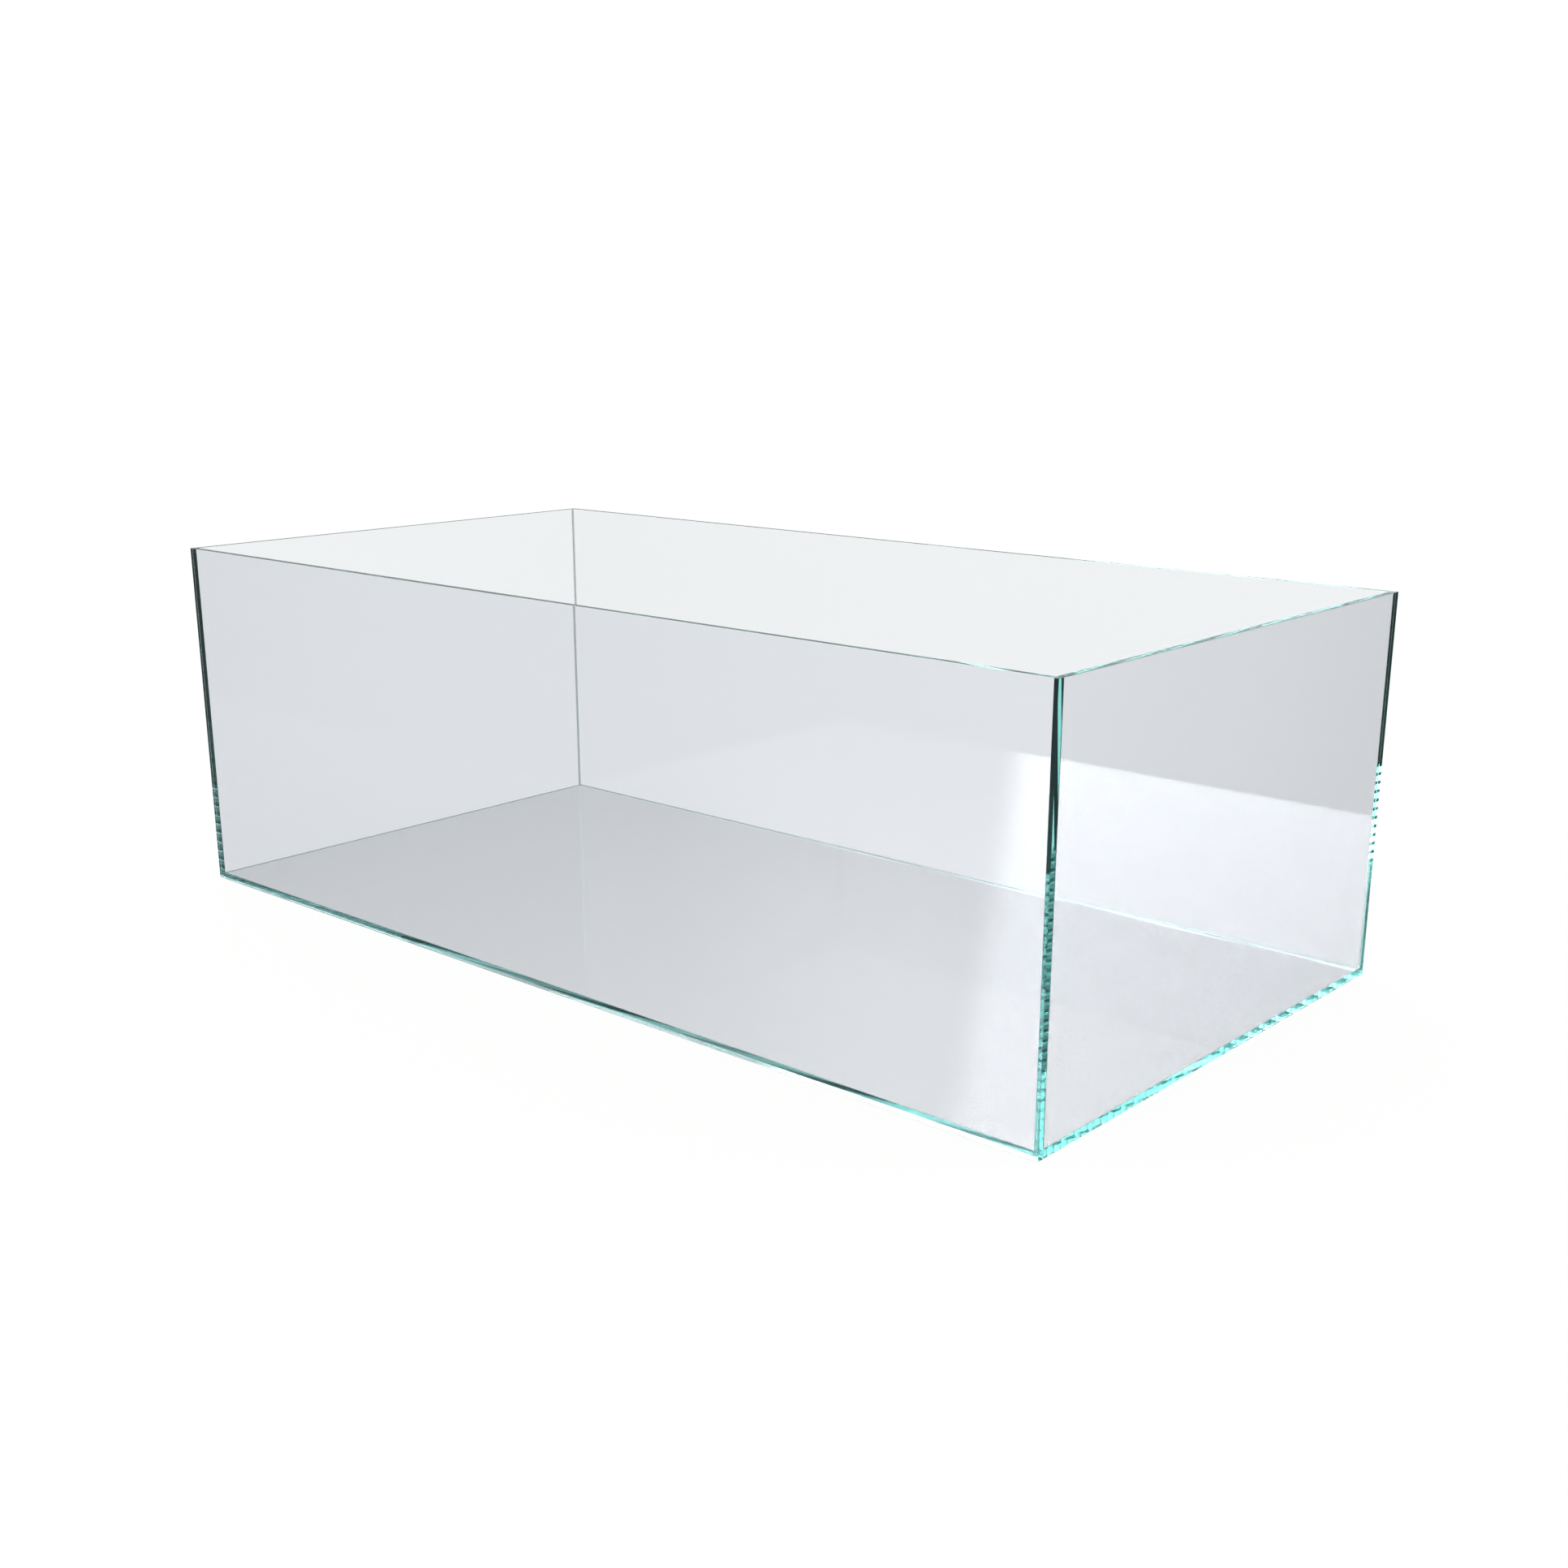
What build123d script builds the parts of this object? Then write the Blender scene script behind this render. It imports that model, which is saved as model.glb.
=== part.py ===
from build123d import *
import os

# A rimless, open-top aquarium: five panes of 5 mm float glass held together by clear silicone.
# The front and back panes run the full length and the side panes stand between them. The floor
# pane lies inside all four walls, with its underside level with their bottom edges.
# X runs along the tank, Y from front to back, Z up. The origin is the centre of the footprint,
# on the surface that the tank stands on. All sizes are in millimetres.

# Driving dimensions
TANK_LENGTH = 900.0      # along X, outside
TANK_DEPTH = 450.0       # along Y, outside
TANK_HEIGHT = 300.0      # along Z, outside
GLASS = 5.0              # thickness of every pane
ARRIS = 0.2              # light ground chamfer on every edge of a pane
BOND = 0.6               # silicone between a pane's edge and the face it is glued to

# Planes worked out from them
OUTER_X = TANK_LENGTH / 2
OUTER_Y = TANK_DEPTH / 2
INNER_X = OUTER_X - GLASS          # inner face of a side pane
INNER_Y = OUTER_Y - GLASS          # inner face of the front or back pane
BONDED_X = INNER_X - BOND          # short edge of the floor pane
BONDED_Y = INNER_Y - BOND          # long edge of the floor pane, and end of a side pane

SIDES = {"left": -1, "right": 1}
ENDS = {"front": -1, "back": 1}


def pane(x_size, y_size, z_size, x_centre=0.0, y_centre=0.0):
    """A glass pane standing on Z = 0, with a ground arris on every edge."""
    blank = Pos(x_centre, y_centre, z_size / 2) * Box(x_size, y_size, z_size)
    return chamfer(blank.edges(), ARRIS)


def prism(plane, face, length):
    """A section placed on a plane and extruded both ways to a total length."""
    return extrude(plane * face, length / 2, both=True)


def corner_bond():
    """Glue up the back right corner, from the side pane's end to the back pane.

    It fills the two arrises of the side pane's end flush with the pane's faces.
    """
    section = make_face(
        Polyline(
            (OUTER_X, INNER_Y),
            (OUTER_X, BONDED_Y - ARRIS),
            (OUTER_X - ARRIS, BONDED_Y),
            (INNER_X + ARRIS, BONDED_Y),
            (INNER_X, BONDED_Y - ARRIS),
            (INNER_X, INNER_Y),
            close=True,
        )
    )
    return prism(Plane.XY.offset(TANK_HEIGHT / 2), section, TANK_HEIGHT - 2 * ARRIS)


def floor_bond(plane, wall, edge, length):
    """Glue between an edge of the floor pane and a wall, filling the pane's upper arris."""
    section = make_face(
        Polyline(
            (wall, ARRIS),
            (wall, GLASS),
            (edge - ARRIS, GLASS),
            (edge, GLASS - ARRIS),
            (edge, ARRIS),
            close=True,
        )
    )
    return prism(plane, section, length)


def reflect(shape, side=1, end=1):
    """A piece made for the right and back of the tank, moved to the given side and end."""
    if side < 0:
        shape = mirror(shape, about=Plane.YZ)
    if end < 0:
        shape = mirror(shape, about=Plane.XZ)
    return shape


def glass_panes():
    """The floor pane and the four walls, by node name."""
    parts = {"floor_pane": pane(2 * BONDED_X, 2 * BONDED_Y, GLASS)}
    for name, end in ENDS.items():
        y_centre = end * (OUTER_Y - GLASS / 2)
        parts[f"{name}_pane"] = pane(TANK_LENGTH, GLASS, TANK_HEIGHT, y_centre=y_centre)
    for name, side in SIDES.items():
        x_centre = side * (OUTER_X - GLASS / 2)
        parts[f"{name}_pane"] = pane(GLASS, 2 * BONDED_Y, TANK_HEIGHT, x_centre=x_centre)
    return parts


def silicone():
    """The glue lines between the panes, by node name."""
    side_bond = floor_bond(Plane.XZ, INNER_X, BONDED_X, 2 * INNER_Y)
    end_bond = floor_bond(Plane.YZ, INNER_Y, BONDED_Y, 2 * BONDED_X)
    end_bond = end_bond - side_bond - reflect(side_bond, side=-1)

    parts = {}
    for name, side in SIDES.items():
        parts[f"{name}_floor_bond"] = reflect(side_bond, side)
    for name, end in ENDS.items():
        parts[f"{name}_floor_bond"] = reflect(end_bond, end=end)
    for end_name, end in ENDS.items():
        for side_name, side in SIDES.items():
            parts[f"{end_name}_{side_name}_corner_bond"] = reflect(corner_bond(), side, end)
    return parts


os.makedirs("parts", exist_ok=True)
for node, shape in {**glass_panes(), **silicone()}.items():
    export_step(shape, f"parts/{node}.step")
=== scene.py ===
import math

import bmesh
import bpy
from bpy.props import FloatProperty, FloatVectorProperty, PointerProperty
from mathutils import Matrix, Vector


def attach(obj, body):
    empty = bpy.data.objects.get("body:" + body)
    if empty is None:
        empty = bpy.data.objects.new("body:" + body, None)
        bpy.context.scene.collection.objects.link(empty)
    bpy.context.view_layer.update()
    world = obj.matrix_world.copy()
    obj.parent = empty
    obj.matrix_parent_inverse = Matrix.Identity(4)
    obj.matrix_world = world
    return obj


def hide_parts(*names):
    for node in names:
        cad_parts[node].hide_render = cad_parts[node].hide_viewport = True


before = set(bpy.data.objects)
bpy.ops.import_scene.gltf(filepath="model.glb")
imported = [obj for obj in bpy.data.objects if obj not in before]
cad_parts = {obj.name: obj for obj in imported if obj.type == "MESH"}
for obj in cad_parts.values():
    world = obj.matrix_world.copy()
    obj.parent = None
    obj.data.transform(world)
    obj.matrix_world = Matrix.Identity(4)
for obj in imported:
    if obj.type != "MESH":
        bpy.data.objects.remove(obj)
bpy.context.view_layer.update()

bl_info = {
    "name": "Rimless aquarium",
    "version": (1, 0, 0),
    "blender": (4, 5, 0),
    "location": "View3D > Sidebar > Aquarium",
    "description": "Finishes a rimless glass aquarium: its panes, its clear silicone and a studio",
    "category": "Object",
}

BODY = "root"
MM = 0.001

DRAW_WAVE = 150  # mm, between the draw lines of float glass
DRAW_DEPTH = 0.004  # share of a millimetre that the waves are deep
CURE_PATCH = 4  # mm, between cloudy patches in cured silicone
PAPER_FELT = 2.5  # mm, between bumps in the paper
FELT_RISE = 0.5  # mm
FELT_SHARE = 0.05  # how much of that rise shows
GLASS_IOR = 1.52
SILICONE_IOR = 1.5  # silicone's own is about 1.41, and this is nearer to the glass
SAME_POINT = 1e-6  # m
FLAT_ANGLE = 1.0  # degrees between faces that count as one

# How bright the room is that the glass mirrors. A height is the sine of an angle up from level.
ROOM_DARK = 0.05  # level with the tank and below it
ROOM_FRONT, ROOM_FRONT_HEIGHT = 1.35, 0.42
ROOM_BACK, ROOM_BACK_HEIGHT = 0.43, 0.15
CEILING, CEILING_LOW, CEILING_HIGH = 1.2, 0.42, 0.5
FRONT_HALF = (0.1, -0.3)  # along Y, where the back of the room turns into the front
ROOM_COLOUR = (0.98, 1.0, 0.99, 1.0)

SURROUND_COLOUR = (1.0, 1.03, 0.985, 1.0)
SURROUND = 1.02
FLOOR_REACH = 40.0  # m, from the middle to an edge, which lies just under the horizon
BOUNCES = 160  # light from the near corner turns back 110 to 120 times along the front pane

# Emission cards: places in metres, roll in degrees, edge as the share of a side that fades out,
# mirrors as how often light has to be mirrored before it shows the card. Mirrored straight in
# the floor pane, a softbox would wash it out in the view from behind.
CARDS = [
    {
        "name": "key",
        "centre": (-0.79, -2.5, 1.35),
        "aim": (-0.79, 0, 1.35),
        "width": 2.2,
        "height": 1.9,
        "roll": -9.0,
        "radiance": 11.0,
        "edge": 0.07,
        "mirrors": 2,
    },
    {
        "name": "fill",
        "centre": (-1.6, -2.6, 1.8),
        "aim": (-1.6, 0, 1.8),
        "width": 3.4,
        "height": 2.4,
        "roll": 0.0,
        "radiance": 4.0,
        "edge": 0.35,
        "mirrors": 2,
    },
    # A strip of white card by the front pane's end lights what runs the length of that pane.
    {
        "name": "edge_card",
        "centre": (-0.475, -0.262, 0.05),
        "aim": (-0.45, -0.2225, 0.05),
        "width": 0.05,
        "height": 0.5,
        "roll": 0.0,
        "radiance": 1.0,
        "edge": 0.01,
        "mirrors": 8,
    },
]

CAMERA_PLACE = (1.0242, -1.1069, 0.5010)
CAMERA_DOWN = 16.787  # degrees below level
CAMERA_TURN = 41.562  # degrees from looking along Y
SENSOR, LENS, LENS_RISE = 36.0, 42.795, 0.0547
NEAREST = 0.01  # m

FRONT_CORNERS = ["front_left_corner", "front_right_corner"]
BACK_CORNERS = ["back_left_corner", "back_right_corner"]
FOOT = [f"{wall}_floor" for wall in ("front", "back", "left", "right")]
PANES = ["floor_pane", "front_pane", "back_pane", "left_pane", "right_pane"]


def linear(hex_colour):
    """An sRGB hex colour as linear red, green, blue and alpha."""
    channels = [int(hex_colour[i : i + 2], 16) / 255 for i in (1, 3, 5)]
    toe = [c / 12.92 if c <= 0.04045 else ((c + 0.055) / 1.055) ** 2.4 for c in channels]
    return (*toe, 1.0)


# ---------------------------------------------------------------- settings


class GlassSettings(bpy.types.PropertyGroup):
    tint: FloatVectorProperty(
        name="Tint",
        description="Colour that a pane passes, seen straight through",
        subtype="COLOR",
        size=4,
        default=(0.950, 0.957, 0.981, 1.0),
    )
    depth_colour: FloatVectorProperty(
        name="Depth colour",
        description="Colour that the iron in the glass leaves over a long path",
        subtype="COLOR",
        size=4,
        default=linear("#8FF6EE"),
    )
    depth_density: FloatProperty(
        name="Depth density",
        description="How fast the glass takes on its depth colour, per metre",
        default=1.5,
        min=0.0,
    )


class SiliconeSettings(bpy.types.PropertyGroup):
    tint: FloatVectorProperty(
        name="Tint",
        description="Colour of the cured clear silicone",
        subtype="COLOR",
        size=4,
        default=linear("#F4F8F7"),
    )
    cloudy_tint: FloatVectorProperty(
        name="Cloudy tint",
        description="Colour of the silicone where it cured a little cloudy",
        subtype="COLOR",
        size=4,
        default=linear("#E6ECEA"),
    )
    wetting: FloatProperty(
        name="Wetting",
        description="How far the joints run into the glass, or the front corner joints stay off it",
        subtype="DISTANCE",
        unit="LENGTH",
        default=0.02 * MM,
    )


class StudioSettings(bpy.types.PropertyGroup):
    floor_colour: FloatVectorProperty(
        name="Floor",
        description="Colour of the studio floor",
        subtype="COLOR",
        size=4,
        default=(0.985, 0.966, 1.0, 1.0),
    )
    air_gap: FloatProperty(
        name="Air gap",
        description="Air left between the floor pane and the studio floor",
        subtype="DISTANCE",
        unit="LENGTH",
        default=0.3 * MM,
    )


# ---------------------------------------------------------------- materials


def add(nodes, kind, settings=None, inputs=None):
    """Add a node, set its properties and set or link its inputs."""
    node = nodes.new(kind)
    for name, value in (settings or {}).items():
        setattr(node, name, value)
    for name, value in (inputs or {}).items():
        socket = node.inputs[name]
        if isinstance(value, bpy.types.NodeSocket):
            node.id_data.links.new(value, socket)
        else:
            socket.default_value = value
    return node


def new_material(name):
    """An empty node material and its output node."""
    material = bpy.data.materials.new(name)
    material.use_nodes = True
    nodes = material.node_tree.nodes
    nodes.clear()
    return material, nodes, add(nodes, "ShaderNodeOutputMaterial")


def float_glass(settings):
    """Soda-lime float glass, clear on its faces and aqua where light runs along a pane."""
    material, nodes, out = new_material("float_glass")
    place = add(nodes, "ShaderNodeTexCoord").outputs["Object"]
    # The ribbon is drawn off molten tin, which leaves long, shallow waves in its faces.
    drawing = add(
        nodes,
        "ShaderNodeTexNoise",
        inputs={"Vector": place, "Scale": 1 / (DRAW_WAVE * MM), "Detail": 1.0},
    )
    waviness = add(
        nodes,
        "ShaderNodeBump",
        inputs={"Strength": DRAW_DEPTH, "Distance": MM, "Height": drawing.outputs["Fac"]},
    )
    shader = add(
        nodes,
        "ShaderNodeBsdfPrincipled",
        inputs={
            "Base Color": settings.tint,
            "Roughness": 0.0,
            "IOR": GLASS_IOR,
            "Transmission Weight": 1.0,
            "Normal": waviness.outputs["Normal"],
        },
    )
    # Iron in the sand takes the red out of light that travels far inside the glass.
    iron = add(
        nodes,
        "ShaderNodeVolumeAbsorption",
        inputs={"Color": settings.depth_colour, "Density": settings.depth_density},
    )
    material.node_tree.links.new(shader.outputs["BSDF"], out.inputs["Surface"])
    material.node_tree.links.new(iron.outputs["Volume"], out.inputs["Volume"])
    return material


def clear_silicone(settings):
    """Clear silicone, pressed thin between the panes and cut flush."""
    material, nodes, out = new_material("clear_silicone")
    place = add(nodes, "ShaderNodeTexCoord").outputs["Object"]
    # It is a little cloudy in patches.
    cure = add(
        nodes,
        "ShaderNodeTexNoise",
        inputs={"Vector": place, "Scale": 1 / (CURE_PATCH * MM), "Detail": 2.0},
    )
    cloud = add(
        nodes,
        "ShaderNodeMix",
        {"data_type": "RGBA"},
        {"Factor": cure.outputs["Fac"], "A": settings.tint, "B": settings.cloudy_tint},
    )
    shader = add(
        nodes,
        "ShaderNodeBsdfPrincipled",
        inputs={
            "Base Color": cloud.outputs["Result"],
            "Roughness": 0.0,
            "IOR": SILICONE_IOR,
            "Transmission Weight": 1.0,
        },
    )
    material.node_tree.links.new(shader.outputs["BSDF"], out.inputs["Surface"])
    return material


def met_mirrors(nodes, count):
    """1 for light that has come off at least this many shiny faces and off no matt one, else 0."""
    path = add(nodes, "ShaderNodeLightPath")
    shiny = add(
        nodes,
        "ShaderNodeMath",
        {"operation": "GREATER_THAN"},
        {0: path.outputs["Glossy Depth"], 1: count - 0.5},
    )
    no_matt = add(
        nodes,
        "ShaderNodeMath",
        {"operation": "LESS_THAN"},
        {0: path.outputs["Diffuse Depth"], 1: 0.5},
    )
    both = add(
        nodes,
        "ShaderNodeMath",
        {"operation": "MULTIPLY"},
        {0: shiny.outputs[0], 1: no_matt.outputs[0]},
    )
    return both.outputs[0]


def studio_paper(settings):
    """Matt seamless background paper, which the glass doesn't mirror."""
    material, nodes, out = new_material("studio_paper")
    place = add(nodes, "ShaderNodeTexCoord").outputs["Object"]
    fibre = add(
        nodes,
        "ShaderNodeTexNoise",
        inputs={"Vector": place, "Scale": 1 / (PAPER_FELT * MM), "Detail": 2.0},
    )
    felt = add(
        nodes,
        "ShaderNodeBump",
        inputs={
            "Strength": FELT_SHARE,
            "Distance": FELT_RISE * MM,
            "Height": fibre.outputs["Fac"],
        },
    )
    paper = add(
        nodes,
        "ShaderNodeBsdfDiffuse",
        inputs={"Color": settings.floor_colour, "Normal": felt.outputs["Normal"]},
    )
    clear = add(nodes, "ShaderNodeBsdfTransparent")
    shader = add(
        nodes,
        "ShaderNodeMixShader",
        inputs={0: met_mirrors(nodes, 1), 1: paper.outputs[0], 2: clear.outputs[0]},
    )
    material.node_tree.links.new(shader.outputs[0], out.inputs["Surface"])
    return material


# ---------------------------------------------------------------- silicone shapes


def cad_copy(node):
    """A merged bmesh copy of a CAD node."""
    shape = bmesh.new()
    shape.from_mesh(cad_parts[node].data)
    bmesh.ops.remove_doubles(shape, verts=shape.verts, dist=SAME_POINT)
    bmesh.ops.dissolve_limit(
        shape, angle_limit=math.radians(FLAT_ANGLE), verts=shape.verts, edges=shape.edges
    )
    return shape


def wet_the_glass(shape, reach):
    """Move a shape's faces out by a reach, or in by one below zero."""
    shape.normal_update()
    moves = [(v, v.calc_shell_factor() * v.normal * reach) for v in shape.verts]
    for vert, move in moves:
        vert.co += move


def finished_piece(shape, name, material, node):
    """Make an object of a bmesh, in the place of a CAD node."""
    shape.normal_update()
    mesh = bpy.data.meshes.new(name)
    shape.to_mesh(mesh)
    shape.free()
    mesh.materials.append(material)
    piece = bpy.data.objects.new(name, mesh)
    bpy.context.scene.collection.objects.link(piece)
    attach(piece, BODY)
    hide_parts(node)
    piece.visible_diffuse = False
    return piece


class AQUARIUM_OT_panes(bpy.types.Operator):
    """Give the five panes their float glass"""

    bl_idname = "aquarium.panes"
    bl_label = "Glass panes"

    def execute(self, context):
        glass = float_glass(context.scene.aquarium_glass)
        for node in PANES:
            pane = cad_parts[node]
            pane.data.materials.clear()
            pane.data.materials.append(glass)
            # Hidden from light that the matt floor scatters, so that it doesn't shade the floor.
            pane.visible_diffuse = False
        return {"FINISHED"}


class AQUARIUM_OT_bonds(bpy.types.Operator):
    """Make the glue lines between the panes"""

    bl_idname = "aquarium.bonds"
    bl_label = "Silicone bonds"

    def execute(self, context):
        settings = context.scene.aquarium_silicone
        material = clear_silicone(settings)
        for place in FRONT_CORNERS + BACK_CORNERS + FOOT:
            shape = cad_copy(f"{place}_bond")
            # The front corners keep a film of air, so that light turns back in the front pane.
            wet_the_glass(shape, -settings.wetting if place in FRONT_CORNERS else settings.wetting)
            finished_piece(shape, f"{place}_joint", material, f"{place}_bond")
        return {"FINISHED"}


# ---------------------------------------------------------------- studio


def card_cloth(name, radiance, edge, mirrors):
    """Bright cloth that fades out to its edges and shows after some mirrorings only."""
    material, nodes, out = new_material(name)
    spot = add(nodes, "ShaderNodeUVMap", {"uv_map": "cloth"}).outputs["UV"]
    axes = add(nodes, "ShaderNodeSeparateXYZ", inputs={"Vector": spot})
    fades = []
    for axis in ("X", "Y"):
        off_centre = add(
            nodes,
            "ShaderNodeMath",
            {"operation": "SUBTRACT"},
            {0: axes.outputs[axis], 1: 0.5},
        )
        off = add(nodes, "ShaderNodeMath", {"operation": "ABSOLUTE"}, {0: off_centre.outputs[0]})
        fade = add(
            nodes,
            "ShaderNodeMapRange",
            {"interpolation_type": "SMOOTHSTEP"},
            {"Value": off.outputs[0], "From Min": 0.5, "From Max": 0.5 - edge},
        )
        fades.append(fade.outputs["Result"])
    shape = add(nodes, "ShaderNodeMath", {"operation": "MULTIPLY"}, {0: fades[0], 1: fades[1]})
    level = add(
        nodes,
        "ShaderNodeMath",
        {"operation": "MULTIPLY"},
        {0: shape.outputs[0], 1: met_mirrors(nodes, mirrors)},
    )
    glow = add(nodes, "ShaderNodeEmission", inputs={"Strength": radiance})
    clear = add(nodes, "ShaderNodeBsdfTransparent")
    cloth = add(
        nodes,
        "ShaderNodeMixShader",
        inputs={0: level.outputs[0], 1: clear.outputs[0], 2: glow.outputs[0]},
    )
    material.node_tree.links.new(cloth.outputs[0], out.inputs["Surface"])
    return material


def card(name, centre, aim, width, height, roll, radiance, edge, mirrors):
    """A bright card that only the glass sees."""
    facing = (Vector(aim) - Vector(centre)).to_track_quat("Z", "Y").to_matrix().to_4x4()
    place = Matrix.Translation(centre) @ facing @ Matrix.Rotation(math.radians(roll), 4, "Z")
    place = place @ Matrix.Diagonal((width / 2, height / 2, 1, 1))
    cloth = bmesh.new()
    cloth.loops.layers.uv.new("cloth")
    bmesh.ops.create_grid(
        cloth, x_segments=1, y_segments=1, size=1.0, matrix=place, calc_uvs=True
    )
    mesh = bpy.data.meshes.new(name)
    cloth.to_mesh(mesh)
    cloth.free()
    mesh.materials.append(card_cloth(name, radiance, edge, mirrors))
    plane = bpy.data.objects.new(name, mesh)
    plane.visible_camera = False
    plane.visible_diffuse = False
    plane.visible_shadow = False
    bpy.context.scene.collection.objects.link(plane)


def glow_along(nodes, axis, start, end, dim, bright):
    """A glow that changes smoothly from dim to bright along one axis of the room."""
    growth = add(
        nodes,
        "ShaderNodeMapRange",
        {"interpolation_type": "SMOOTHSTEP"},
        {"Value": axis, "From Min": start, "From Max": end, "To Min": dim, "To Max": bright},
    )
    return growth.outputs["Result"]


def studio_world():
    """A white surround for what is seen through the glass, and a room for what it mirrors."""
    world = bpy.data.worlds.new("studio")
    world.use_nodes = True
    nodes = world.node_tree.nodes
    nodes.clear()
    gaze = add(nodes, "ShaderNodeTexCoord").outputs["Generated"]
    axes = add(nodes, "ShaderNodeSeparateXYZ", inputs={"Vector": gaze}).outputs
    ahead = glow_along(nodes, axes["Y"], *FRONT_HALF, 0.0, 1.0)
    front = glow_along(nodes, axes["Z"], 0.0, ROOM_FRONT_HEIGHT, ROOM_DARK, ROOM_FRONT)
    back = glow_along(nodes, axes["Z"], 0.0, ROOM_BACK_HEIGHT, ROOM_DARK, ROOM_BACK)
    walls = add(nodes, "ShaderNodeMix", inputs={"Factor": ahead, "A": back, "B": front})
    ceiling = glow_along(nodes, axes["Z"], CEILING_LOW, CEILING_HIGH, 0.0, CEILING)
    level = add(
        nodes,
        "ShaderNodeMath",
        {"operation": "ADD"},
        {0: walls.outputs["Result"], 1: ceiling},
    )
    surround = add(
        nodes,
        "ShaderNodeBackground",
        inputs={"Color": SURROUND_COLOUR, "Strength": SURROUND},
    )
    room = add(
        nodes,
        "ShaderNodeBackground",
        inputs={"Color": ROOM_COLOUR, "Strength": level.outputs[0]},
    )
    mix = add(
        nodes,
        "ShaderNodeMixShader",
        inputs={0: met_mirrors(nodes, 1), 1: surround.outputs[0], 2: room.outputs[0]},
    )
    add(nodes, "ShaderNodeOutputWorld", inputs={"Surface": mix.outputs[0]})
    return world


def studio_floor(settings):
    """A flat sheet of paper under the tank."""
    sheet = bmesh.new()
    place = Matrix.Translation((0, 0, -settings.air_gap))
    bmesh.ops.create_grid(sheet, x_segments=1, y_segments=1, size=FLOOR_REACH, matrix=place)
    mesh = bpy.data.meshes.new("studio_floor")
    sheet.to_mesh(mesh)
    sheet.free()
    mesh.materials.append(studio_paper(settings))
    floor = bpy.data.objects.new("studio_floor", mesh)
    bpy.context.scene.collection.objects.link(floor)


def studio_camera():
    """The camera, level across and looking a little down."""
    lens = bpy.data.cameras.new("camera")
    lens.sensor_width = SENSOR
    lens.lens = LENS
    lens.shift_y = LENS_RISE
    lens.clip_start = NEAREST
    camera = bpy.data.objects.new("camera", lens)
    camera.location = CAMERA_PLACE
    camera.rotation_euler = (math.radians(90 - CAMERA_DOWN), 0, math.radians(CAMERA_TURN))
    bpy.context.scene.collection.objects.link(camera)
    bpy.context.scene.camera = camera


class AQUARIUM_OT_studio(bpy.types.Operator):
    """Lay the floor, set the lights and the camera"""

    bl_idname = "aquarium.studio"
    bl_label = "Studio"

    def execute(self, context):
        scene = context.scene
        studio_floor(scene.aquarium_studio)
        for settings in CARDS:
            card(**settings)
        scene.world = studio_world()
        scene.view_settings.view_transform = "Standard"
        scene.cycles.blur_glossy = 0.0
        scene.cycles.max_bounces = BOUNCES
        scene.cycles.transmission_bounces = BOUNCES
        scene.cycles.glossy_bounces = BOUNCES
        studio_camera()
        return {"FINISHED"}


class AQUARIUM_PT_panel(bpy.types.Panel):
    """Sizes, colours and the steps that build the tank"""

    bl_idname = "AQUARIUM_PT_panel"
    bl_label = "Rimless aquarium"
    bl_space_type = "VIEW_3D"
    bl_region_type = "UI"
    bl_category = "Aquarium"

    def draw(self, context):
        layout = self.layout
        for group, operators in PANEL_ROWS:
            settings = getattr(context.scene, group)
            box = layout.box()
            for name in settings.__annotations__:
                box.prop(settings, name)
            for operator in operators:
                box.operator(operator)


PANEL_ROWS = [
    ("aquarium_glass", ["aquarium.panes"]),
    ("aquarium_silicone", ["aquarium.bonds"]),
    ("aquarium_studio", ["aquarium.studio"]),
]

CLASSES = [
    GlassSettings,
    SiliconeSettings,
    StudioSettings,
    AQUARIUM_OT_panes,
    AQUARIUM_OT_bonds,
    AQUARIUM_OT_studio,
    AQUARIUM_PT_panel,
]


def register():
    for cls in CLASSES:
        bpy.utils.register_class(cls)
    bpy.types.Scene.aquarium_glass = PointerProperty(type=GlassSettings)
    bpy.types.Scene.aquarium_silicone = PointerProperty(type=SiliconeSettings)
    bpy.types.Scene.aquarium_studio = PointerProperty(type=StudioSettings)


def unregister():
    del bpy.types.Scene.aquarium_studio
    del bpy.types.Scene.aquarium_silicone
    del bpy.types.Scene.aquarium_glass
    for cls in reversed(CLASSES):
        bpy.utils.unregister_class(cls)


def main():
    register()
    bpy.ops.aquarium.panes()
    bpy.ops.aquarium.bonds()
    bpy.ops.aquarium.studio()


if __name__ == "__main__":
    main()
